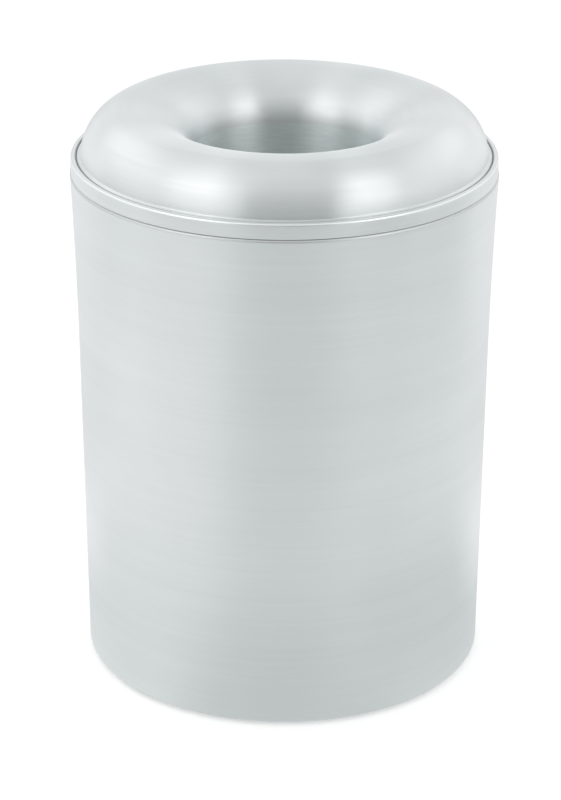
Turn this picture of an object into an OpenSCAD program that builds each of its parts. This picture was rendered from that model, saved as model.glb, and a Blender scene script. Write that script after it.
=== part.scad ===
// Spun aluminium wastepaper bin with a lift-off flame-smothering head.
// The bin stands on its rubber feet at z = 0, with its axis on Z.

/* [Body] */
// Outer diameter of the wall at its foot
foot_d = 251.2; // [240:0.2:256]
// Outer diameter of the mouth, across the rolled rim
mouth_d = 261.2; // [256:0.2:290]
// Height of the body from its hemmed foot to the top of its rolled rim
body_h = 317; // [200:0.1:400]
// Height over which the wall bows out to the mouth
flare_h = 115; // [20:1:180]
// Distance that the bow widens the wall on each side
flare_w = 1.9; // [0:0.1:3]
// Thickness of the spun sheet of the wall
wall_t = 1.0; // [0.7:0.05:1.2]
// Outside diameter of the rolled rim's tube
rim_d = 3.7; // [3.2:0.1:6]

/* [Base] */
// Thickness of the pressed sheet of the base pan
pan_t = 1.0; // [0.7:0.05:1.3]
// Height of the hemmed seam that holds the pan
seam_h = 6.0; // [4:0.1:10]
// Distance that the feet's centres are set in from the wall's foot
pad_inset = 21.5; // [18:0.5:40]
// Diameter of each rubber foot at the pan
pad_d = 20; // [17:0.5:26]
// Diameter of each rubber foot at the floor
pad_tip_d = 17; // [15:0.5:20]
// Height that the rubber feet stand below the wall
pad_drop = 2.0; // [1:0.1:5]
// Distance between the feet and the foot of the pan's raised middle
dish_margin = 6; // [4:0.5:30]
// Height that the middle of the pan is raised
dish_h = 2.0; // [0.5:0.1:4]

/* [Head] */
// Diameter of the throat that the paper drops through
throat_d = 115; // [90:0.5:140]
// Diameter of the circle at the top of the dome
crown_d = 198.8; // [170:0.2:220]
// Height of the dome above the ledge
dome_h = 27.9; // [15:0.1:60]
// Fullness of the dome's outer side, where 2 is a plain ellipse
dome_fullness = 1.85; // [1.7:0.05:2.3]
// Fullness of the dome's inner side, down to the throat
throat_fullness = 2.2; // [1.8:0.1:3]
// Width of the ledge between the dome and the band
ledge_w = 2.5; // [2.4:0.1:6]
// Length of the throat's straight sleeve below the ledge
sleeve_h = 38; // [25:0.5:60]
// Depth of the skirt below the band
skirt_h = 22; // [12:0.5:40]
// Height of the band round the head, down its outer leg
band_h = 9.45; // [8:0.05:14]
// Distance that the band is set in from the mouth
band_inset = 0.5; // [0:0.1:1]
// Thickness of the head's spun sheet
head_t = 1.0; // [0.7:0.05:1.2]
// Thickness of the band's folded strip
band_t = 1.0; // [0.7:0.05:1.05]
// Outside diameter of the curl at the foot of the throat
curl_d = 4.4; // [3.4:0.1:6]

/* [Seal] */
// Thickness of the seal's flat ring
seal_t = 0.9; // [0.6:0.05:2]
// Height of the rib that holds the seal in the band
rib_h = 1.8; // [1:0.1:2]

/* [Fasteners] */
// Diameter of the foot rivets' shanks
foot_rivet_d = 4.0; // [3:0.1:5]
// Outer diameter of the foot rivets' washers
washer_d = 12; // [10:0.5:16]
// Thickness of the washers
washer_t = 1.0; // [0.5:0.1:2]
// Number of rivets that hold the band to the skirt
band_rivets_n = 6; // [3:1:12]
// Diameter of the band rivets' shanks
band_rivet_d = 2.4; // [2:0.1:2.6]

/* [Clearances] */
// Gap between the rim's wire and the sheet rolled round it
wire_gap = 0.1; // [0.05:0.05:0.2]
// Gap on each side of the pan's flange in the hem
seam_gap = 0.05; // [0.05:0.05:0.15]
// Gap between the skirt and the rolled rim all round
skirt_gap = 0.4; // [0.3:0.1:1]
// Gap between the rolled rim and the outer leg of the band, which hides the seal
band_gap = 0.2; // [0.2:0.05:1]
// Gap between the rolled rim and the seal
seat_gap = 0.3; // [0.2:0.05:0.5]
// Gap between the seal and the inner leg of the band, which turns on it
turn_gap = 0.05; // [0.05:0.05:0.2]
// Gap on each side of the seal's rib in the band
rib_gap = 0.1; // [0.05:0.05:0.2]
// Gap between a rivet's shank and its hole
rivet_gap = 0.1; // [0.05:0.05:0.2]
// Gap between other pieces that lie against each other
fit_gap = 0.05; // [0.02:0.01:0.1]

/* [Hidden] */
$fn = 96;

spun_aluminium = [0.84, 0.86, 0.87];
rolled_aluminium = [0.72, 0.74, 0.76];
zinc_steel = [0.62, 0.63, 0.64];
black_rubber = [0.10, 0.10, 0.11];
grey_silicone = [0.22, 0.23, 0.24];

arc_step = 15;      // angle between the points of an arc
flare_steps = 8;    // points along the wall's bow
dome_steps = 48;    // points along the dome, from the throat over the crown to the ledge

// Radii of the wall and its rolled rim
foot_r = foot_d / 2;
mouth_r = mouth_d / 2;
rim_r = rim_d / 2;
wire_r = rim_r - wall_t - wire_gap;
rim_curl_angle = 270;   // how far the wall is rolled round the wire

// Radii and bends of the hemmed foot and the pan's flange
hem_in_r = pan_t / 2 + seam_gap;
hem_out_r = hem_in_r + wall_t;
flange_r = foot_r - wall_t - seam_gap;
pan_bend_in_r = 1.0;
pan_bend_out_r = pan_bend_in_r + pan_t;

// Heights of the seats, from the floor up
hem_z = pad_drop;
pan_z = hem_z + seam_h + pan_bend_in_r;
rim_top_z = hem_z + body_h;
seal_z = rim_top_z + seat_gap;
seat_z = seal_z + seal_t + turn_gap;   // foot of the inner leg of the band
band_z = rim_top_z + band_gap;
band_top_z = band_z + band_h;
ledge_step = 0.2;   // the ledge lies this far below the top of the band
ledge_z = band_top_z - ledge_step;
skirt_z = band_z - skirt_h;

// Centres of the rolled rim and of the hem
rim_centre = [mouth_r - rim_r, rim_top_z - rim_r];
hem_centre = [foot_r - hem_out_r, hem_z + hem_out_r];
flange_foot_z = hem_centre[1] + seam_gap;

// Radii and bends of the head, its skirt and its band
throat_r = throat_d / 2;
crown_r = crown_d / 2;
skirt_r = mouth_r - rim_d - skirt_gap;
dome_r = skirt_r - ledge_w;
dome_foot_fillet = 0.8;
ledge_edge_r = head_t + 0.2;
skirt_lead_h = 5;       // the skirt's last few millimetres lean in, to find the mouth
skirt_lead_in = 1.2;
curl_r = curl_d / 2;
throat_curl_angle = 240;
band_in_r = skirt_r + fit_gap;
band_out_r = mouth_r - band_inset;
band_inner_corner = band_t + 0.2;
band_outer_corner = band_t + 0.6;

// Radii of the channel under the band, and of the seal in it
channel_in_r = band_in_r + band_t;
channel_out_r = band_out_r - band_t;
seal_in_r = band_in_r + 0.4;

// Rivets of the band, level with the middle of the channel above the seal
band_rivet_z = (seat_z + rib_h + ledge_z - head_t) / 2;
band_rivet_head_d = 2 * band_rivet_d;
band_rivet_head_t = 0.9;
band_rivet_tail_d = band_rivet_d + 1.0;
band_rivet_tail_t = 0.7;

// Rubber feet and their rivets
foot_angles = [225, 315, 135, 45];   // front left, front right, rear left, rear right
pad_r = foot_r - pad_inset;
pad_h = pan_z;
pad_bore_d = 2 * foot_rivet_d + 1;
pad_bore_h = 0.55 * pad_h;
foot_rivet_hole_d = foot_rivet_d + 2 * rivet_gap;
foot_rivet_head_d = 2 * foot_rivet_d;
foot_rivet_head_t = 1.4;
foot_rivet_tail_d = foot_rivet_d + 3;
foot_rivet_tail_t = 1.2;

// Raised middle of the pan, with two equal bends between it and the flat for the feet
dish_bend_angle = 30;
dish_bend_r = dish_h / (2 * (1 - cos(dish_bend_angle)));
dish_foot_r = pad_r - pad_d / 2 - dish_margin;
dish_top_r = dish_foot_r - 2 * dish_bend_r * sin(dish_bend_angle);

// Points along an arc round a centre
function arc(centre, r, from, to) =
    let (n = max(1, ceil(abs(to - from) / arc_step)))
    [for (i = [0:n])
        let (a = from + (to - from) * i / n)
        centre + r * [cos(a), sin(a)]];

// Points in the opposite order
function reversed(points) =
    [for (i = [len(points) - 1:-1:0]) points[i]];

// One face of the wall above its hem: a straight taper that bows out to the rolled rim
function wall_face(inset) =
    let (
        taper = (mouth_r - flare_w - foot_r) / (rim_centre[1] - hem_centre[1]),
        flare_z = rim_centre[1] - flare_h
    )
    concat(
        [[foot_r - inset, hem_centre[1]]],
        [for (i = [0:flare_steps - 1])
            let (s = i / flare_steps, z = flare_z + flare_h * s)
            [foot_r + taper * (z - hem_centre[1]) + flare_w * s * s - inset, z]]
    );

// The wall: hemmed foot, taper, bowed mouth and a rim rolled inwards
module body_wall() {
    hem_top_z = hem_z + seam_h;
    color(spun_aluminium)
        rotate_extrude()
            polygon(concat(
                [[hem_centre[0] - hem_out_r, hem_top_z]],
                arc(hem_centre, hem_out_r, -180, -arc_step),
                wall_face(0),
                arc(rim_centre, rim_r, 0, rim_curl_angle),
                arc(rim_centre, rim_r - wall_t, rim_curl_angle, 0),
                reversed(wall_face(wall_t)),
                arc(hem_centre, hem_in_r, -arc_step, -180),
                [[hem_centre[0] - hem_in_r, hem_top_z]]
            ));
}

// The steel wire inside the rolled rim
module rim_wire() {
    color(zinc_steel)
        rotate_extrude()
            translate(rim_centre)
                circle(r = wire_r);
}

// Places its children at the rubber feet
module at_feet(angles = foot_angles) {
    for (a = angles)
        rotate([0, 0, a])
            translate([pad_r, 0, 0])
                children();
}

// One face of the two bends up to the pan's raised middle, half a sheet above or below its middle
function dish_bends(offset) =
    let (
        sheet_z = pan_z + pan_t / 2,
        foot_centre = [dish_foot_r, sheet_z + dish_bend_r],
        top_centre = [dish_top_r, sheet_z + dish_h - dish_bend_r]
    )
    concat(
        arc(foot_centre, dish_bend_r - offset, -90, -90 - dish_bend_angle),
        arc(top_centre, dish_bend_r + offset, 90 - dish_bend_angle, 90)
    );

// The pressed pan: a flange gripped in the hem, a flat for the feet and a raised middle
module base_pan() {
    bend_centre = [flange_r - pan_bend_out_r, pan_z - pan_bend_in_r];
    color(rolled_aluminium)
        difference() {
            rotate_extrude()
                polygon(concat(
                    [[flange_r - pan_t, flange_foot_z], [flange_r, flange_foot_z]],
                    arc(bend_centre, pan_bend_out_r, 0, 90),
                    dish_bends(pan_t / 2),
                    [[0, pan_z + pan_t + dish_h], [0, pan_z + dish_h]],
                    reversed(dish_bends(-pan_t / 2)),
                    arc(bend_centre, pan_bend_in_r, 90, 0)
                ));
            at_feet()
                translate([0, 0, pan_z - 1])
                    cylinder(d = foot_rivet_hole_d, h = pan_t + 2);
        }
}

// One rubber foot, bored from below for its rivet
module rubber_foot(angle) {
    edge = 1;
    color(black_rubber)
        at_feet([angle])
            rotate_extrude()
                polygon([
                    [pad_bore_d / 2, 0],
                    [pad_tip_d / 2 - edge, 0],
                    [pad_tip_d / 2, edge],
                    [pad_d / 2, pad_h],
                    [foot_rivet_hole_d / 2, pad_h],
                    [foot_rivet_hole_d / 2, pad_bore_h],
                    [pad_bore_d / 2, pad_bore_h]
                ]);
}

// The washers between the foot rivets' heads and the pan
module foot_washers() {
    color(zinc_steel)
        at_feet()
            translate([0, 0, pan_z + pan_t])
                difference() {
                    cylinder(d = washer_d, h = washer_t);
                    translate([0, 0, -1])
                        cylinder(d = foot_rivet_hole_d, h = washer_t + 2);
                }
}

// A low domed rivet head that stands on z = 0
module rivet_head(d, t) {
    ball_r = (d * d / 4 + t * t) / (2 * t);
    intersection() {
        cylinder(d = d, h = t);
        translate([0, 0, t - ball_r])
            sphere(r = ball_r);
    }
}

// The rivets through the washers, the pan and the feet
module foot_rivets() {
    head_z = pan_z + pan_t + washer_t;
    tail_z = pad_bore_h - foot_rivet_tail_t;
    color(rolled_aluminium)
        at_feet()
            union() {
                translate([0, 0, head_z])
                    rivet_head(foot_rivet_head_d, foot_rivet_head_t);
                translate([0, 0, tail_z])
                    cylinder(d = foot_rivet_d, h = head_z - tail_z + foot_rivet_head_t / 2);
                translate([0, 0, tail_z])
                    cylinder(d = foot_rivet_tail_d, h = foot_rivet_tail_t);
            }
}

// The silicone seal: a flat ring on the rolled rim, with a rib up into the band
module seat_seal() {
    rib_top_z = seat_z + rib_h;
    rib_in_r = channel_in_r + rib_gap;
    rib_out_r = channel_out_r - rib_gap;
    color(grey_silicone)
        rotate_extrude()
            polygon([
                [seal_in_r, seal_z],
                [rib_out_r, seal_z],
                [rib_out_r, rib_top_z],
                [rib_in_r, rib_top_z],
                [rib_in_r, seal_z + seal_t],
                [seal_in_r, seal_z + seal_t]
            ]);
}

// Places its children at each band rivet, with their Z pointing out from the axis
module at_band_rivets() {
    for (i = [0:band_rivets_n - 1])
        rotate([0, 0, 360 * (i + 0.5) / band_rivets_n])
            translate([0, 0, band_rivet_z])
                rotate([0, 90, 0])
                    children();
}

// The holes that the band rivets go through
module band_rivet_holes() {
    at_band_rivets()
        translate([0, 0, skirt_r - head_t - 1])
            cylinder(d = band_rivet_d + 2 * rivet_gap, h = channel_in_r - skirt_r + head_t + 1.3);
}

// One point of the dome's sheet: t is 180 at the throat, 90 at the crown and 0 at the ledge.
// The side next to the throat and the outer side each have their own fullness.
function dome_point(t, inset) =
    let (
        width = t > 90 ? crown_r - throat_r : dome_r - crown_r,
        fullness = t > 90 ? throat_fullness : dome_fullness,
        along = sign(cos(t)) * pow(abs(cos(t)), 2 / fullness),
        up = pow(sin(t), 2 / fullness),
        lean_out = sign(cos(t)) * pow(abs(along), fullness - 1) / width,
        lean_up = pow(up, fullness - 1) / dome_h,
        normal = [lean_out, lean_up] / norm([lean_out, lean_up])
    )
    [crown_r + width * along, ledge_z + dome_h * up] - inset * normal;

// One face of the head's sheet, from the throat's curl over the dome to the skirt's foot
function head_face(inset) =
    let (
        curl_centre = [throat_r + curl_r, ledge_z - sleeve_h],
        dome_end = asin(pow(dome_foot_fillet / dome_h, dome_fullness / 2)),
        fillet_centre = [dome_r + dome_foot_fillet, ledge_z + dome_foot_fillet],
        edge_centre = [skirt_r - ledge_edge_r, ledge_z - ledge_edge_r]
    )
    concat(
        arc(curl_centre, curl_r - inset, 180 + throat_curl_angle, 180),
        [for (i = [0:dome_steps]) dome_point(180 + (dome_end - 180) * i / dome_steps, inset)],
        arc(fillet_centre, dome_foot_fillet + inset, 180 + arc_step, 270),
        arc(edge_centre, ledge_edge_r - inset, 90, 0),
        [
            [skirt_r - inset, skirt_z + skirt_lead_h],
            [skirt_r - inset - skirt_lead_in, skirt_z]
        ]
    );

// The head: throat, dome, ledge and skirt, spun from one sheet
module head_cover() {
    color(spun_aluminium)
        difference() {
            rotate_extrude()
                polygon(concat(head_face(0), reversed(head_face(head_t))));
            band_rivet_holes();
        }
}

// The band: a strip folded to an upside-down channel and set round the skirt, with a longer outer leg
module rim_band() {
    inner_corner = [band_in_r + band_inner_corner, band_top_z - band_inner_corner];
    outer_corner = [band_out_r - band_outer_corner, band_top_z - band_outer_corner];
    color(spun_aluminium)
        difference() {
            rotate_extrude()
                polygon(concat(
                    [[channel_in_r, seat_z], [band_in_r, seat_z]],
                    arc(inner_corner, band_inner_corner, 180, 90),
                    arc(outer_corner, band_outer_corner, 90, 0),
                    [[band_out_r, band_z], [channel_out_r, band_z]],
                    arc(outer_corner, band_outer_corner - band_t, 0, 90),
                    arc(inner_corner, band_inner_corner - band_t, 90, 180)
                ));
            band_rivet_holes();
        }
}

// The rivets that hold the band to the skirt, with their heads inside the skirt
module band_rivets() {
    head_r = skirt_r - head_t - fit_gap;
    tail_r = channel_in_r + fit_gap;
    shank_from_r = head_r - band_rivet_head_t / 2;
    color(rolled_aluminium)
        at_band_rivets()
            union() {
                translate([0, 0, head_r])
                    mirror([0, 0, 1])
                        rivet_head(band_rivet_head_d, band_rivet_head_t);
                translate([0, 0, shank_from_r])
                    cylinder(d = band_rivet_d, h = tail_r + band_rivet_tail_t - shank_from_r);
                translate([0, 0, tail_r])
                    cylinder(d = band_rivet_tail_d, h = band_rivet_tail_t);
            }
}

body_wall();
rim_wire();
base_pan();
rubber_foot(foot_angles[0]);  // foot_front_left
rubber_foot(foot_angles[1]);  // foot_front_right
rubber_foot(foot_angles[2]);  // foot_rear_left
rubber_foot(foot_angles[3]);  // foot_rear_right
foot_washers();
foot_rivets();
seat_seal();
head_cover();
rim_band();
band_rivets();
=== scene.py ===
from math import asin, ceil, cos, hypot, pi, radians, sin

import bmesh
import bpy
from mathutils import Matrix, Vector


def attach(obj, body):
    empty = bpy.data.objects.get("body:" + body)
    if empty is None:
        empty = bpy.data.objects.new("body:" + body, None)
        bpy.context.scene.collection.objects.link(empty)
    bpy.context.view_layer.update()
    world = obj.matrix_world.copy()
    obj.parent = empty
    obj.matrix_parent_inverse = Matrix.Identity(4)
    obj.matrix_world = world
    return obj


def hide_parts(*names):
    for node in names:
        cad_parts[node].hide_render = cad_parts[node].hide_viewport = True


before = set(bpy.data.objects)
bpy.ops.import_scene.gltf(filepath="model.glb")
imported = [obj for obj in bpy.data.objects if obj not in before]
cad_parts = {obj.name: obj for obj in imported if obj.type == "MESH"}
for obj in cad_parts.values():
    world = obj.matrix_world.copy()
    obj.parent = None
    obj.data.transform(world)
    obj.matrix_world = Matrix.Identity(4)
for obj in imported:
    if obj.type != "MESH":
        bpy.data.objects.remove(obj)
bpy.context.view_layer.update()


# Base pan
# The bottom of the bin, pressed from flat mill-finished aluminium sheet: a flange that the wall's hem
# grips, a flat ring that the feet are riveted to, and a raised middle that stiffens it.

pan_sheet = 0.001
pan_flange_radius = 0.12455
pan_flange_foot = 0.0036
pan_bend_inside = 0.001
pan_underside = 0.009
pan_raised = 0.002
pan_raised_foot_radius = 0.0881
pan_raised_bend_angle = 30
rivet_circle = 0.1041
rivet_hole_radius = 0.0021
foot_angles = {"front_left": 225, "front_right": 315, "rear_left": 135, "rear_right": 45}
sharp_angle = 35
same_point, on_axis = 1e-7, 1e-6


def arc(centre, radius, start, end, step=5):
    """Points along an arc in the section, with the angles in degrees."""
    count = max(1, ceil(abs(end - start) / step))
    angles = [radians(start + (end - start) * i / count) for i in range(count + 1)]
    return [(centre[0] + radius * cos(a), centre[1] + radius * sin(a)) for a in angles]


def turned(name, section, around=384):
    """A piece spun round the bin's axis from its closed section of (radius, height) points."""
    points = [p for p, q in zip(section, section[1:] + section[:1])
              if hypot(p[0] - q[0], p[1] - q[1]) > same_point]
    area = sum(p[0] * q[1] - q[0] * p[1] for p, q in zip(points, points[1:] + points[:1]))
    if area < 0:
        points.reverse()
    turn = [(cos(2 * pi * j / around), sin(2 * pi * j / around)) for j in range(around)]
    corners, rows, faces = [], [], []
    for radius, height in points:
        ring = turn if radius > on_axis else turn[:1]
        rows.append([len(corners) + j for j in range(len(ring))])
        corners += [(radius * x, radius * y, height) for x, y in ring]
    for row, following in zip(rows, rows[1:] + rows[:1]):
        if len(row) == len(following) == 1:
            continue
        for j in range(around):
            a, b = row[j % len(row)], row[(j + 1) % len(row)]
            c, d = following[(j + 1) % len(following)], following[j % len(following)]
            faces.append(list(dict.fromkeys((a, b, c, d))))
    mesh = bpy.data.meshes.new(name)
    mesh.from_pydata(corners, [], faces)
    return shown(name, mesh)


def smooth(mesh):
    """Shades a mesh smooth, except across its real edges."""
    mesh.shade_smooth()
    mesh.set_sharp_from_angle(angle=radians(sharp_angle))


def shown(name, mesh):
    """Puts a mesh in the scene as a piece."""
    mesh.validate()
    smooth(mesh)
    piece = bpy.data.objects.new(name, mesh)
    bpy.context.scene.collection.objects.link(piece)
    return piece


def dress(piece, finish, body, node):
    """Gives a piece its finish and its body, and hides the node that it stands for."""
    piece.data.materials.clear()
    piece.data.materials.append(finish)
    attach(piece, body)
    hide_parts(node)


def pan_bends(offset):
    """One face of the two bends up to the raised middle, half a sheet above or below its middle."""
    bend_angle = radians(pan_raised_bend_angle)
    bend = pan_raised / (2 * (1 - cos(bend_angle)))
    middle = pan_underside + pan_sheet / 2
    foot = (pan_raised_foot_radius, middle + bend)
    top = (pan_raised_foot_radius - 2 * bend * sin(bend_angle), middle + pan_raised - bend)
    return (arc(foot, bend - offset, -90, -90 - pan_raised_bend_angle)
            + arc(top, bend + offset, 90 - pan_raised_bend_angle, 90))


pan_bend_centre = (pan_flange_radius - pan_bend_inside - pan_sheet, pan_underside - pan_bend_inside)
pan_raised_top = pan_underside + pan_sheet + pan_raised
pan = turned("base_pan_sheet", (
    [(pan_flange_radius - pan_sheet, pan_flange_foot), (pan_flange_radius, pan_flange_foot)]
    + arc(pan_bend_centre, pan_bend_inside + pan_sheet, 0, 90, 10)
    + pan_bends(pan_sheet / 2)
    + [(0, pan_raised_top), (0, pan_raised_top - pan_sheet)]
    + pan_bends(-pan_sheet / 2)[::-1]
    + arc(pan_bend_centre, pan_bend_inside, 90, 0, 10)))

# The four rivet holes are drilled through the flat ring.
drill_mesh = bmesh.new()
for angle in foot_angles.values():
    place = (Matrix.Rotation(radians(angle), 4, "Z")
             @ Matrix.Translation((rivet_circle, 0, pan_underside)))
    bmesh.ops.create_cone(drill_mesh, cap_ends=True, segments=32, radius1=rivet_hole_radius,
                          radius2=rivet_hole_radius, depth=6 * pan_sheet, matrix=place)
drill = bpy.data.objects.new("drill", bpy.data.meshes.new("drill"))
drill_mesh.to_mesh(drill.data)
drill_mesh.free()
bpy.context.scene.collection.objects.link(drill)
holes = pan.modifiers.new("holes", "BOOLEAN")
holes.object = drill
holes.solver = "EXACT"
bpy.context.view_layer.update()
drilled = bpy.data.meshes.new_from_object(pan.evaluated_get(bpy.context.evaluated_depsgraph_get()))
pan.modifiers.clear()
pan.data = drilled
smooth(drilled)
bpy.data.objects.remove(drill)


def new_finish(name):
    """An empty material and its node tree, ready for the nodes of one finish."""
    finish = bpy.data.materials.new(name)
    finish.use_nodes = True
    finish.node_tree.nodes.clear()
    return finish, finish.node_tree


def add(tree, kind, inputs=None, **settings):
    """Adds a node; an input that is a socket is linked, and any other is its value."""
    made = tree.nodes.new("ShaderNode" + kind)
    for key, value in settings.items():
        setattr(made, key, value)
    for key, value in (inputs or {}).items():
        if isinstance(value, bpy.types.NodeSocket):
            tree.links.new(value, made.inputs[key])
        else:
            made.inputs[key].default_value = value
    return made


def sum_of(tree, start, *shares):
    """A start value plus each noise about its middle times its share."""
    total = start
    for noise, share in shares:
        total = add(tree, "Math", {0: noise, 1: share, 2: total}, operation="MULTIPLY_ADD").outputs[0]
        total = add(tree, "Math", {0: total, 1: share / 2}, operation="SUBTRACT").outputs[0]
    return total


def mixed(tree, share, first, second):
    """Two colours mixed, with this share of the second."""
    return add(tree, "Mix", {0: share, 6: first, 7: second}, data_type="RGBA").outputs[2]


def between(tree, share, low, high):
    """A colour between two close colours."""
    return mixed(tree, share, (*low, 1), (*high, 1))


def grain(tree, size, detail=2.0, stretch=(1, 1, 1)):
    """Noise in the piece's own space, whose features are about size metres across; a stretch below 1
    draws them out along that axis."""
    here = add(tree, "TexCoord").outputs["Object"]
    scaled = add(tree, "Mapping", {"Vector": here, "Scale": [s / size for s in stretch]}).outputs[0]
    noise = add(tree, "TexNoise", {"Vector": scaled, "Scale": 1.0, "Detail": detail})
    return noise.outputs["Fac"]


def bumped(tree, height, depth):
    """The normal of a surface with this height pattern, depth metres from lowest to highest."""
    return add(tree, "Bump", {"Height": height, "Distance": depth}).outputs[0]


def surface(tree, **sockets):
    """The one shader of a finish, with its sockets by their names, and its output."""
    named = {key.replace("_", " ").title(): value for key, value in sockets.items()}
    shader = add(tree, "BsdfPrincipled", named)
    add(tree, "OutputMaterial", {"Surface": shader.outputs[0]})


def mill_finish():
    """Rolled sheet as it left the mill: fine lines one way, faint smears and cloudy patches."""
    finish, tree = new_finish("mill_finish_aluminium")
    lines = grain(tree, 0.0008, stretch=(0.02, 1, 1))
    smears = grain(tree, 0.02, detail=3, stretch=(0.3, 1, 1))
    clouds = grain(tree, 0.05)
    surface(tree, metallic=1.0, anisotropic=0.4,
            base_color=between(tree, sum_of(tree, 0.5, (lines, 0.4), (smears, 0.6), (clouds, 0.5)),
                               (0.66, 0.68, 0.69), (0.78, 0.80, 0.81)),
            roughness=sum_of(tree, 0.36, (smears, 0.2), (lines, 0.1)),
            normal=bumped(tree, lines, 0.000004))
    return finish


mill_aluminium = mill_finish()
dress(pan, mill_aluminium, "body", "base_pan")


# Rubber feet
# Four moulded feet of black rubber that keep the metal off the floor. Each is a low tapered ring with
# rounded edges, bored from below so that its rivet's tail sits up out of the way.

foot_height = pan_underside
foot_top_radius = 0.010
foot_tip_radius = 0.0085
foot_bore_radius = 0.0045
foot_bore_height = 0.00495
foot_edge = 0.0009
foot_lip = 0.0003
foot_shoulder_in, foot_shoulder_down = 0.0002, 0.0008


def black_rubber():
    """Moulded rubber: matt, with a fine pebble and dust that greys it a little."""
    finish, tree = new_finish("black_rubber")
    pebble = grain(tree, 0.0007, detail=3)
    dust = grain(tree, 0.006)
    surface(tree, base_color=between(tree, sum_of(tree, 0.4, (dust, 1.2)), (0.022, 0.022, 0.024),
                                     (0.055, 0.055, 0.056)),
            roughness=sum_of(tree, 0.72, (dust, 0.3), (pebble, 0.1)),
            normal=bumped(tree, pebble, 0.00005))
    return finish


rubber = black_rubber()
foot_section = (
    arc((foot_bore_radius + foot_lip, foot_lip), foot_lip, 180, 270, 15)
    + arc((foot_tip_radius - foot_edge, foot_edge), foot_edge, 270, 360, 10)
    + [(foot_top_radius - foot_shoulder_in, foot_height - foot_shoulder_down)]
    + arc((foot_top_radius - foot_lip, foot_height - foot_lip), foot_lip, 10, 90, 16)
    + [(rivet_hole_radius, foot_height), (rivet_hole_radius, foot_bore_height)]
    + arc((foot_bore_radius - foot_lip, foot_bore_height - foot_lip), foot_lip, 90, 0, 15))
for corner, angle in foot_angles.items():
    foot = turned(f"foot_{corner}_rubber", foot_section, around=96)
    foot.data.transform(Matrix.Translation((rivet_circle * cos(radians(angle)),
                                            rivet_circle * sin(radians(angle)), 0)))
    dress(foot, rubber, "body", f"foot_{corner}")


# Foot washers
# Plain zinc-plated steel washers between the rivets' heads and the pan, punched, so the edge that the
# punch went in by is a little rounded.

washer_radius = 0.006
washer_thickness = 0.001
washer_break = 0.00015


def zinc_plate():
    """Zinc-plated steel: bright blue-grey with the faint patches that passivation leaves."""
    finish, tree = new_finish("zinc_plated_steel")
    patches = grain(tree, 0.004, detail=3)
    scratches = grain(tree, 0.0005, stretch=(0.1, 1, 1))
    surface(tree, metallic=1.0,
            base_color=between(tree, sum_of(tree, 0.5, (patches, 1.4)), (0.54, 0.56, 0.60),
                               (0.68, 0.68, 0.68)),
            roughness=sum_of(tree, 0.34, (patches, 0.3), (scratches, 0.1)),
            normal=bumped(tree, scratches, 0.000005))
    return finish


def set_of(name, section, places, around=64):
    """The same small turned part at each place, as one piece."""
    together = bmesh.new()
    for place in places:
        one = turned(name, section, around)
        one.data.transform(place)
        together.from_mesh(one.data)
        bpy.data.objects.remove(one)
    mesh = bpy.data.meshes.new(name)
    together.to_mesh(mesh)
    together.free()
    return shown(name, mesh)


foot_places = [Matrix.Rotation(radians(angle), 4, "Z") @ Matrix.Translation((rivet_circle, 0, 0))
               for angle in foot_angles.values()]
zinc = zinc_plate()
washer_foot = pan_underside + pan_sheet
washer_top = washer_foot + washer_thickness
washers = set_of("foot_washer_set", (
    [(rivet_hole_radius, washer_foot), (washer_radius, washer_foot)]
    + arc((washer_radius - washer_break, washer_top - washer_break), washer_break, 0, 90, 30)
    + arc((rivet_hole_radius + washer_break, washer_top - washer_break), washer_break, 90, 180, 30)),
    foot_places)
dress(washers, zinc, "body", "foot_washers")


# Foot rivets
# Domed aluminium rivets, set from inside the bin through washer, pan and foot. The tail is upset flat
# in the foot's bore, clear of the floor.

rivet_shank_radius = 0.002
rivet_head_radius = 0.004
rivet_head_height = 0.0014
rivet_tail_radius = 0.0035
rivet_tail_height = 0.0012
rivet_tail_break = 0.0002


def domed(radius, height, base):
    """The rounded face of a rivet's head, from its rim to its middle."""
    ball = (radius * radius + height * height) / (2 * height)
    half_angle = asin(radius / ball) * 180 / pi
    return arc((0, base + height - ball), ball, 90 - half_angle, 90, 4)


rivet_tail_foot = foot_bore_height - rivet_tail_height
rivets = set_of("foot_rivet_set", (
    [(0, rivet_tail_foot), (rivet_tail_radius - rivet_tail_break, rivet_tail_foot),
     (rivet_tail_radius, rivet_tail_foot + rivet_tail_break),
     (rivet_tail_radius, foot_bore_height - rivet_tail_break),
     (rivet_tail_radius - rivet_tail_break, foot_bore_height), (rivet_shank_radius, foot_bore_height),
     (rivet_shank_radius, washer_top)]
    + domed(rivet_head_radius, rivet_head_height, washer_top)),
    foot_places)
dress(rivets, mill_aluminium, "body", "foot_rivets")


# Body wall
# One aluminium sheet spun over a former and brushed as it turned. Its foot is hemmed round the pan's
# flange, it widens a little upwards, bows out towards the mouth and is rolled inwards over a wire.

wall_sheet = 0.001
wall_foot_radius, wall_foot = 0.1256, 0.002
hem_inside = 0.00055
hem_outside = hem_inside + wall_sheet
hem_centre = (wall_foot_radius - hem_outside, wall_foot + hem_outside)
hem_top = 0.008
rim_tube = 0.00185
mouth_radius, mouth_height = 0.1306, 0.3190
rim_centre = (mouth_radius - rim_tube, mouth_height - rim_tube)
bow_height = 0.115
bow_width = 0.0019
wall_steps = 120
brushed_dark, brushed_bright = (0.76, 0.785, 0.79), (0.96, 0.985, 0.99)
# The colour and extra roughness of painted shade, laid into creases, gaps and rounded edges.
painted_shade_colour, painted_shade_roughness = (0.20, 0.21, 0.21, 1), 0.2
wall_along, wall_roughness = 0.55, [(0, 0.382)]
# Painted shade: the wall is darkened round the bottom of its hem and over the top of its rolled rim,
# under the band.
wall_painted_shade = [(0.0024, 0.35), (0.0036, 0.0), (0.3168, 0.0), (0.3179, 0.35)]


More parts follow.
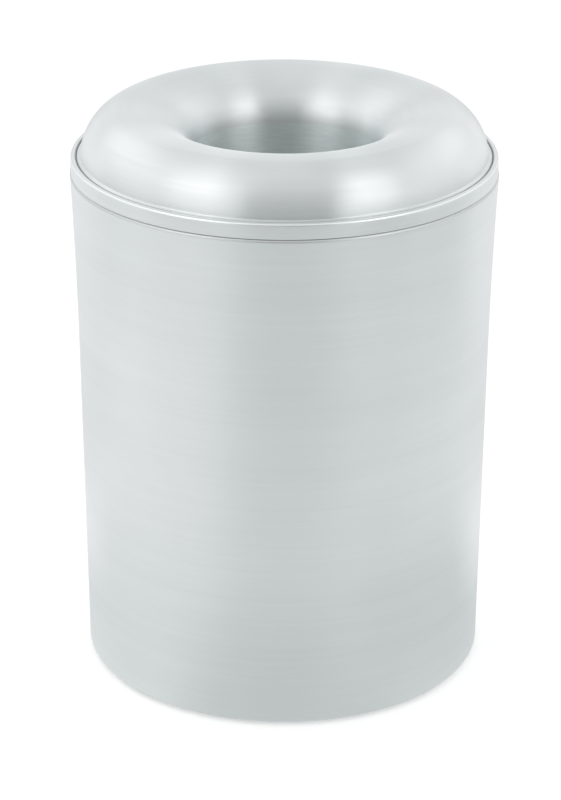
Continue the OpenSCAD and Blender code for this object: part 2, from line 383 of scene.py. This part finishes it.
def wall_side(inset):
    """One face of the wall above its hem: a straight taper that bows out to the rolled rim."""
    low, high = hem_centre[1], rim_centre[1]
    taper = (mouth_radius - bow_width - wall_foot_radius) / (high - low)
    side = []
    for i in range(wall_steps):
        height = low + (high - low) * i / wall_steps
        bow = max(0, (height - high + bow_height) / bow_height)
        side.append((wall_foot_radius + taper * (height - low) + bow_width * bow * bow - inset, height))
    return side


def around_axis(tree):
    """A point's distance from the bin's axis, and its place in the piece's own space."""
    here = add(tree, "SeparateXYZ", {0: add(tree, "TexCoord").outputs["Object"]}).outputs
    out = add(tree, "Math", {0: here[0], 1: here[0]}, operation="MULTIPLY").outputs[0]
    out = add(tree, "Math", {0: here[1], 1: here[1], 2: out}, operation="MULTIPLY_ADD").outputs[0]
    return add(tree, "Math", {0: out}, operation="SQRT").outputs[0], here


def ring_grain(tree, width, length):
    """Noise drawn out round the bin's axis with no seam: streaks width across and length long."""
    out, here = around_axis(tree)
    parts = [add(tree, "Math", {0: value, 1: 1 / width}, operation="MULTIPLY").outputs[0]
             for value in (out, here[2])]
    for axis in (0, 1):
        turn = add(tree, "Math", {0: here[axis], 1: out}, operation="DIVIDE").outputs[0]
        parts.append(add(tree, "Math", {0: turn, 1: mouth_radius / length},
                         operation="MULTIPLY").outputs[0])
    vector = add(tree, "CombineXYZ", {0: parts[0], 1: parts[1], 2: parts[2]}).outputs[0]
    noise = add(tree, "TexNoise", {"Vector": vector, "W": parts[3], "Scale": 1.0, "Detail": 2.0},
                noise_dimensions="4D")
    return noise.outputs["Fac"]


def by_place(tree, place, steps):
    """A value that changes with a height or a distance from the axis, by its (place, value) steps."""
    value = steps[0][1]
    for (start, value_in), (end, value_out) in zip(steps, steps[1:]):
        if value_out != value_in:
            part = add(tree, "MapRange", {"Value": place, "From Min": start, "From Max": end,
                                          "To Min": 0.0, "To Max": value_out - value_in}).outputs[0]
            value = add(tree, "Math", {0: part, 1: value}, operation="ADD").outputs[0]
    return value


def brushed_finish(name, along, roughness, painted_shade_out=(), painted_shade_up=(), sleeve=None):
    """Spun aluminium brushed as it turned: fine lines round the axis, with faint darker and brighter
    rings.
    along is how much the lines draw out a reflection. roughness is (distance from the axis, value)
    steps.
    The next two are painted shade, a dark, duller colour laid into the creases and gaps and over the
    rounded edges beside them: the first by (distance from the axis, value) steps, the second by (height,
    value) steps. sleeve is for a coarser brushed part below the rest: its (height, value) steps, its
    dark and bright colours, which are painted light that makes it lighter and greener, and how much
    rougher it is."""
    finish, tree = new_finish(name)
    lines = ring_grain(tree, 0.0005, 0.05)
    streaks = ring_grain(tree, 0.003, 0.15)
    rings = ring_grain(tree, 0.018, 0.5)
    clouds = grain(tree, 0.06)
    brushed_along = add(tree, "Tangent", direction_type="RADIAL", axis="Z").outputs[0]
    radius, here = around_axis(tree)
    rough = by_place(tree, radius, roughness)
    tone = sum_of(tree, 0.4, (lines, 0.24), (streaks, 0.24), (clouds, 0.24), (rings, 0.3))
    colour = between(tree, tone, brushed_dark, brushed_bright)
    if sleeve:
        steps, dark, bright, rougher = sleeve
        inside = by_place(tree, here[2], steps)
        coarse = sum_of(tree, 0.5, (ring_grain(tree, 0.0012, 0.025), 1.6))
        # Painted light: the sleeve's colours make it lighter and greener, standing in for the light in
        # the throat.
        colour = mixed(tree, inside, colour, between(tree, coarse, dark, bright))
        rough = add(tree, "Math", {0: inside, 1: rougher, 2: rough}, operation="MULTIPLY_ADD").outputs[0]
    # Painted shade: a dark, duller colour mixed in by these steps, for the shade in creases, gaps and on
    # rounded edges.
    for place, steps in ((radius, painted_shade_out), (here[2], painted_shade_up)):
        if steps:
            shade_mask = by_place(tree, place, steps)
            colour = mixed(tree, shade_mask, colour, painted_shade_colour)
            rough = add(tree, "Math", {0: shade_mask, 1: painted_shade_roughness, 2: rough},
                        operation="MULTIPLY_ADD").outputs[0]
    surface(tree, metallic=1.0, anisotropic=along, anisotropic_rotation=0.25, tangent=brushed_along,
            base_color=colour,
            roughness=sum_of(tree, rough, (lines, 0.12), (streaks, 0.10), (rings, 0.08)),
            normal=bumped(tree, lines, 0.000004))
    return finish


body_brushed = brushed_finish("body_brushed_aluminium", wall_along, wall_roughness,
                              painted_shade_up=wall_painted_shade)
wall = turned("body_wall_sheet", (
    [(hem_centre[0] - hem_outside, hem_top)]
    + arc(hem_centre, hem_outside, -180, -5)
    + wall_side(0)
    + arc(rim_centre, rim_tube, 0, 270, 6)
    + arc(rim_centre, rim_tube - wall_sheet, 270, 0, 9)
    + wall_side(wall_sheet)[::-1]
    + arc(hem_centre, hem_inside, -5, -180, 12)
    + [(hem_centre[0] - hem_inside, hem_top)]))
dress(wall, body_brushed, "body", "body_wall")


# Rim wire
# A ring of galvanised steel wire inside the rolled rim. It stiffens the mouth and is seen only where
# the roll leaves a narrow opening inside.

wire_radius = 0.00075
wire = turned("rim_wire_ring", arc(rim_centre, wire_radius, 0, 345, 15), around=256)
dress(wire, zinc, "body", "rim_wire")


# Seat seal
# A dark grey silicone ring that lies on the rolled rim, with a rib that holds it in the band above.
# The outer leg of the band hides it, so that only a fine line shows between the body and the head.

seal_foot = 0.3193
seal_flat_top = 0.3202
seal_rib_top = 0.32205
seal_inside, seal_outside = 0.12695, 0.1290
rib_inside = 0.12765
seal_edge = 0.00025


def grey_silicone():
    """Cast silicone: dark grey and dull, with a faint bloom."""
    finish, tree = new_finish("grey_silicone")
    bloom = ring_grain(tree, 0.002, 0.03)
    surface(tree, base_color=between(tree, sum_of(tree, 0.5, (bloom, 1.0)), (0.045, 0.048, 0.052),
                                     (0.085, 0.09, 0.095)),
            roughness=sum_of(tree, 0.55, (bloom, 0.2)),
            normal=bumped(tree, bloom, 0.00002))
    return finish


seal = turned("seat_seal_ring", (
    arc((seal_inside + seal_edge, seal_foot + seal_edge), seal_edge, 180, 270, 30)
    + arc((seal_outside - seal_edge, seal_foot + seal_edge), seal_edge, 270, 360, 30)
    + arc((seal_outside - seal_edge, seal_rib_top - seal_edge), seal_edge, 0, 90, 30)
    + arc((rib_inside + seal_edge, seal_rib_top - seal_edge), seal_edge, 90, 180, 30)
    + [(rib_inside, seal_flat_top), (seal_inside, seal_flat_top)]))
dress(seal, grey_silicone(), "seal", "seat_seal")


# Head cover
# The flame-smothering head, spun from one aluminium sheet: a curled throat, a hollow dome that turns
# back over the throat, a narrow flat ledge, and a skirt that drops inside the body's mouth.

head_sheet = 0.001
throat_radius = 0.0575
throat_curl = 0.0022
throat_curl_turn = 240
throat_length = 0.038
crown_radius = 0.0994
dome_radius = 0.1240
dome_height = 0.02789
dome_fullness = 1.85
throat_fullness = 2.2
dome_foot_fillet = 0.0008
fillet_start = 195
ledge_height = 0.32845
ledge_edge = 0.0012
skirt_radius = 0.1265
skirt_foot = 0.2972
skirt_lead = 0.005
skirt_lead_in = 0.0012
skirt_bend_half, skirt_bend_in = 0.0005, 0.00006
dome_steps, sleeve_steps = 160, 20
head_along, head_roughness = 0.98, [(0.085, 0.40), (0.105, 0.386)]
# Painted shade: the head is darkened from the ledge's outer edge outwards, in the crease against the
# band.
head_painted_shade = [(0.1257, 0.0), (0.1262, 0.5)]
sleeve_end = [(0.3278, 1.0), (0.3284, 0.0)]
# Painted light: the sleeve's colours are lighter and greener than the rest of the head's, standing in
# for the light and tint that the throat shows.
sleeve_painted_dim, sleeve_painted_bright, sleeve_roughness = (0.80, 0.88, 0.87), (0.92, 1.0, 0.99), 0.12


def dome_point(angle, inset):
    """A point of the dome's sheet, from the throat at 180 degrees over the crown to the ledge at 0."""
    inner = angle > 90
    width = crown_radius - throat_radius if inner else dome_radius - crown_radius
    fullness = throat_fullness if inner else dome_fullness
    across, up = cos(radians(angle)), max(0.0, sin(radians(angle)))
    side = -1 if inner else 1
    along = side * abs(across) ** (2 / fullness)
    rise = up ** (2 / fullness)
    lean_out = side * abs(along) ** (fullness - 1) / width
    lean_up = rise ** (fullness - 1) / dome_height
    lean = hypot(lean_out, lean_up)
    return (crown_radius + width * along - inset * lean_out / lean,
            ledge_height + dome_height * rise - inset * lean_up / lean)


def head_side(inset):
    """One face of the head's sheet, from the throat's curl over the dome to the skirt's foot."""
    dome_end = asin((dome_foot_fillet / dome_height) ** (dome_fullness / 2)) * 180 / pi
    curl_centre = (throat_radius + throat_curl, ledge_height - throat_length)
    fillet_centre = (dome_radius + dome_foot_fillet, ledge_height + dome_foot_fillet)
    edge_centre = (skirt_radius - ledge_edge, ledge_height - ledge_edge)
    sleeve_foot = ledge_height - throat_length
    sleeve = [(throat_radius + inset, sleeve_foot + throat_length * i / sleeve_steps)
              for i in range(1, sleeve_steps)]
    dome = [dome_point(180 + (dome_end - 180) * i / dome_steps, inset)
            for i in range(dome_steps + 1)]
    return (arc(curl_centre, throat_curl - inset, 180 + throat_curl_turn, 180, 8) + sleeve + dome
            + arc(fillet_centre, dome_foot_fillet + inset, fillet_start, 270, 12)
            + arc(edge_centre, ledge_edge - inset, 90, 0, 10)
            + [(skirt_radius - inset, skirt_foot + skirt_lead + skirt_bend_half),
               (skirt_radius - inset - skirt_bend_in, skirt_foot + skirt_lead - skirt_bend_half),
               (skirt_radius - inset - skirt_lead_in, skirt_foot)])


head_brushed = brushed_finish("head_brushed_aluminium", head_along, head_roughness,
                              painted_shade_out=head_painted_shade,
                              sleeve=(sleeve_end, sleeve_painted_dim, sleeve_painted_bright, sleeve_roughness))
head = turned("head_cover_sheet", head_side(0) + head_side(head_sheet)[::-1])
dress(head, head_brushed, "head", "head_cover")


# Rim band
# A strip of the same aluminium folded to an upside-down channel and set round the skirt. Its inner leg
# rests on the seal, and its longer outer leg comes down to just above the rolled rim.

band_sheet = 0.001
band_foot, band_inner_foot, band_top = 0.3192, 0.32025, 0.32865
band_inside, band_outside = 0.12655, 0.1301
band_inner_corner, band_outer_corner = 0.0012, 0.0016
# Painted shade: the band is darkened at its inner corner, in the crease against the head, and a little
# on its rounded outer corner, which dims its highlight there.
band_painted_shade = [(0.1271, 0.5), (0.1277, 0.0), (0.1287, 0.0), (0.1292, 0.25), (0.1297, 0.0)]

inner_corner = (band_inside + band_inner_corner, band_top - band_inner_corner)
outer_corner = (band_outside - band_outer_corner, band_top - band_outer_corner)
band = turned("rim_band_strip", (
    [(band_inside + band_sheet, band_inner_foot), (band_inside, band_inner_foot)]
    + arc(inner_corner, band_inner_corner, 180, 90, 9)
    + arc(outer_corner, band_outer_corner, 90, 0, 9)
    + [(band_outside, band_foot), (band_outside - band_sheet, band_foot)]
    + arc(outer_corner, band_outer_corner - band_sheet, 0, 90, 15)
    + arc(inner_corner, band_inner_corner - band_sheet, 90, 180, 30)))
band_brushed = brushed_finish("band_brushed_aluminium", wall_along, wall_roughness,
                              painted_shade_out=band_painted_shade)
dress(band, band_brushed, "head", "rim_band")


# Band rivets
# Six small aluminium rivets through the skirt and the band, with their heads inside the skirt and
# their tails in the band's channel, so that none shows when the head is on the bin.

band_rivet_count = 6
band_rivet_height = 0.32475
band_rivet_shank = 0.0012
band_rivet_head = 0.0024
band_rivet_head_height = 0.0009
band_rivet_tail = 0.0017
band_rivet_tail_height = 0.0007
band_rivet_tail_break = 0.0001
band_rivet_gap = 0.00005
band_rivet_head_face = skirt_radius - head_sheet - band_rivet_gap
band_rivet_tail_face = band_inside + band_sheet + band_rivet_gap
band_rivet_tail_end = band_rivet_tail_face + band_rivet_tail_height

band_rivets = set_of("band_rivet_set", (
    [(0, band_rivet_tail_end), (band_rivet_tail - band_rivet_tail_break, band_rivet_tail_end),
     (band_rivet_tail, band_rivet_tail_end - band_rivet_tail_break),
     (band_rivet_tail, band_rivet_tail_face), (band_rivet_shank, band_rivet_tail_face),
     (band_rivet_shank, band_rivet_head_face)]
    + [(radius, 2 * band_rivet_head_face - height) for radius, height
       in domed(band_rivet_head, band_rivet_head_height, band_rivet_head_face)]),
    [Matrix.Rotation(2 * pi * (i + 0.5) / band_rivet_count, 4, "Z")
     @ Matrix.Translation((0, 0, band_rivet_height)) @ Matrix.Rotation(pi / 2, 4, "Y")
     for i in range(band_rivet_count)],
    around=32)
dress(band_rivets, mill_aluminium, "head", "band_rivets")


# Floor
# A plain white studio floor. It keeps the bin's soft shadow, and to the eye and in the metal it is
# as white as the background.

floor_radius, floor_sides = 6.0, 64
floor_white = (0.86, 0.86, 0.86, 1)
floor_glow = 0.36


def stage_rays(tree):
    """1 for rays from the camera and for those that metal or glass sends out, and 0 for soft light."""
    rays = add(tree, "LightPath").outputs
    seen = rays["Is Camera Ray"]
    for ray in ("Is Glossy Ray", "Is Transmission Ray"):
        seen = add(tree, "Math", {0: seen, 1: rays[ray]}, operation="MAXIMUM").outputs[0]
    return seen


def studio_white():
    """White vinyl that glows a little to the camera, so that it meets the background without a line."""
    finish, tree = new_finish("studio_white")
    glow = add(tree, "Math", {0: stage_rays(tree), 1: floor_glow}, operation="MULTIPLY").outputs[0]
    vinyl = add(tree, "BsdfDiffuse", {"Color": floor_white}).outputs[0]
    light = add(tree, "Emission", {"Strength": glow}).outputs[0]
    both = add(tree, "AddShader", {0: vinyl, 1: light}).outputs[0]
    add(tree, "OutputMaterial", {"Surface": both})
    return finish


floor_mesh = bpy.data.meshes.new("studio_floor")
floor_turns = [2 * pi * i / floor_sides for i in range(floor_sides)]
floor_mesh.from_pydata([(floor_radius * cos(turn), floor_radius * sin(turn), 0)
                        for turn in floor_turns], [], [list(range(floor_sides))])
floor = shown("studio_floor", floor_mesh)
floor.data.materials.append(studio_white())


# Cloth tent
# What a photographer hangs round bright metal, here as two bent cards: a dome with the tones of the lit
# and dim cloth and of the opening round the camera, and a flat one with those of the table. Only the
# metal sees them.

card_white = 0.842
dim_tone, dim_tint = 0.5, (0.91, 1, 0.98)
plain_tone, plain_tint = 1.1, (1, 1, 1)


def smooth_table(table, place):
    """The values at a place in a table of {place: values}, with soft steps between its entries."""
    places = sorted(table)
    place = min(max(place, places[0]), places[-1])
    above = next(p for p in places if p >= place)
    below = max(p for p in places if p <= place)
    share = (place - below) / (above - below) if above > below else 0.0
    share = share * share * (3 - 2 * share)
    return [a + (b - a) * share for a, b in zip(table[below], table[above])]


def card_grey():
    """What a card gives off: the tone that each of its corners holds, greener where it is dim."""
    finish, tree = new_finish("card_grey")
    tone = add(tree, "Attribute", attribute_name="tone").outputs["Fac"]
    level = add(tree, "Math", {0: tone, 1: card_white}, operation="MULTIPLY").outputs[0]
    plain = add(tree, "MapRange", {"Value": tone, "From Min": dim_tone,
                                   "From Max": plain_tone}).outputs[0]
    colour = between(tree, plain, dim_tint, plain_tint)
    glow = add(tree, "Emission", {"Color": colour, "Strength": level})
    add(tree, "OutputMaterial", {"Surface": glow.outputs[0]})
    return finish


def graded_card(name, rise, tones, columns, rows):
    """A card bent round the bin. rise lists its (distance, height) points from foot to top, and tones
    gives the tone at each of them, for some directions in degrees from the camera's side."""
    first, last = min(tones), max(tones)
    points, corner_tones = [], []
    for row in range(rows + 1):
        step = row / rows * (len(rise) - 1)
        distance, height = smooth_table(dict(enumerate(rise)), step)
        for column in range(columns + 1):
            turn = first + (last - first) * column / columns
            points.append((distance * sin(radians(turn)), -distance * cos(radians(turn)), height))
            here = smooth_table(tones, turn)
            corner_tones += smooth_table({i: (tone,) for i, tone in enumerate(here)}, step)
    faces = [[r * (columns + 1) + c, r * (columns + 1) + c + 1,
              (r + 1) * (columns + 1) + c + 1, (r + 1) * (columns + 1) + c]
             for r in range(rows) for c in range(columns)]
    mesh = bpy.data.meshes.new(name)
    mesh.from_pydata(points, [], faces)
    mesh.attributes.new("tone", "FLOAT", "POINT").data.foreach_set("value", corner_tones)
    card = shown(name, mesh)
    card.data.materials.append(card_finish)
    card.visible_camera = card.visible_diffuse = card.visible_shadow = False
    card.visible_transmission = False


card_finish = card_grey()
tent_rise = [(2.2, 0.002), (2.19, 0.49), (2.13, 0.87), (1.98, 1.30), (1.71, 1.72), (1.29, 2.12),
             (0.75, 2.41), (0.01, 2.54)]
behind = (0.92, 1.01, 1.20, 0.91, 0.69, 1.47, 1.38, 0.70)
rear_left = (1.53, 1.33, 0.82, 1.65, 1.54, 0.99, 0.26, 0.57)
side_left = (0.77, 0.96, 1.47, 1.41, 1.57, 1.02, 1.24, 0.51)
lit_left = (0.00, 0.39, 1.90, 2.95, 1.50, 1.89, 1.01, 0.64)
edge_left = (0.45, 0.66, 1.35, 1.74, 0.81, 1.86, 1.86, 0.71)
opening = (0.10, 0.10, 0.26, 0.72, 0.92, 1.42, 1.28, 0.66)
edge_right = (0.61, 0.85, 1.55, 1.55, 0.72, 1.45, 1.71, 0.69)
lit_right = (0.00, 0.45, 2.08, 2.58, 2.15, 1.91, 1.19, 0.61)
side_right = (0.77, 0.97, 1.47, 1.18, 1.38, 0.70, 0.06, 0.48)
rear_right = (1.46, 1.32, 0.95, 1.58, 1.25, 1.10, 0.79, 0.54)
graded_card("tent", tent_rise,
            {-180: behind, -164: behind, -150: rear_left, -124: rear_left, -108: side_left,
             -78: side_left, -62: lit_left, -42: lit_left, -31: edge_left, -27: edge_left,
             -19: opening, 24: opening, 32: edge_right, 35: edge_right, 43: lit_right,
             62: lit_right, 76: side_right, 108: side_right, 122: rear_right, 150: rear_right,
             164: behind, 180: behind}, columns=240, rows=42)
floor_rise = [(distance, 0.002) for distance in (0.1265, 0.25, 0.40, 0.62, 1.0, 2.2)]
floor_behind = (0.72, 1.18, 0.94, 0.99, 1.10, 0.48)
floor_left = (0.95, 0.88, 1.13, 1.07, 0.81, 1.47)
floor_front = (0.79, 0.78, 1.16, 0.55, 0.87, 2.17)
floor_right = (0.85, 0.72, 1.08, 0.93, 0.46, 1.83)
graded_card("floor_card", floor_rise,
            {-180: floor_behind, -120: floor_behind, -85: floor_left, -45: floor_left,
             -18: floor_front, 22: floor_front, 45: floor_right, 85: floor_right,
             120: floor_behind, 180: floor_behind}, columns=180, rows=25)


# Lamps and world
# Six soft boxes light the floor and the feet from outside the tent, in a plain white studio. The metal
# doesn't see them, because the tent's lit fields stand for them there.

# Each box has its direction in degrees from the camera's side, its distance, the height of its middle,
# its width, how tall it is, and its power.
soft_boxes = {"front_left": (-52, 1.5, 1.00, 0.62, 1.5, 2.2),
              "front_right": (48, 1.5, 1.00, 0.44, 1.3, 1.35),
              "rear_left": (-131, 1.5, 1.10, 0.50, 1.1, 1.5),
              "rear_right": (131, 1.5, 0.95, 0.45, 1.2, 1.25),
              "side_left": (-88, 1.8, 1.10, 1.8, 1.4, 1.7),
              "side_right": (86, 1.8, 1.10, 1.6, 1.4, 0.6)}
lamps_aim = Vector((0, 0, 0.2))
for corner, (turn, distance, height, width, tall, power) in soft_boxes.items():
    light = bpy.data.lights.new(f"soft_box_{corner}", "AREA")
    light.shape = "RECTANGLE"
    light.size, light.size_y = width, tall
    light.energy = power * card_white
    lamp = bpy.data.objects.new(light.name, light)
    lamp.location = (distance * sin(radians(turn)), -distance * cos(radians(turn)), height)
    lamp.rotation_euler = (lamps_aim - lamp.location).to_track_quat("-Z", "Y").to_euler()
    lamp.visible_camera = lamp.visible_glossy = False
    bpy.context.scene.collection.objects.link(lamp)

studio_light = 0.75
world = bpy.data.worlds.new("white_studio")
bpy.context.scene.world = world
world.use_nodes = True
world.node_tree.nodes.clear()
level = add(world.node_tree, "MapRange", {"Value": stage_rays(world.node_tree),
                                          "To Min": studio_light, "To Max": 1.0}).outputs[0]
sky = add(world.node_tree, "Background", {"Color": (1, 1, 1, 1), "Strength": level})
add(world.node_tree, "OutputWorld", {"Surface": sky.outputs[0]})


# Camera
# The photograph's viewing angle, found by fitting the rim, the foot and the throat. The angles are in
# radians, and the yaw and roll are the small ones that the photograph has.

camera_place = (0, -1.6136, 0.8672)
camera_pitch, camera_yaw, camera_roll = 0.411213, -0.00122, -0.0030009
camera_lens, camera_reach = 125.35, 50
ahead = Vector((sin(camera_yaw) * cos(camera_pitch), cos(camera_yaw) * cos(camera_pitch),
                -sin(camera_pitch)))
level_right = Vector((cos(camera_yaw), -sin(camera_yaw), 0))
level_down = ahead.cross(level_right)
right = cos(camera_roll) * level_right + sin(camera_roll) * level_down
down = -sin(camera_roll) * level_right + cos(camera_roll) * level_down
lens = bpy.data.cameras.new("camera")
lens.lens = camera_lens
lens.clip_end = camera_reach
camera = bpy.data.objects.new("camera", lens)
camera.matrix_world = (Matrix.Translation(camera_place)
                       @ Matrix((right, -down, -ahead)).transposed().to_4x4())
bpy.context.scene.collection.objects.link(camera)
bpy.context.scene.camera = camera
bpy.context.scene.view_settings.view_transform = "Standard"
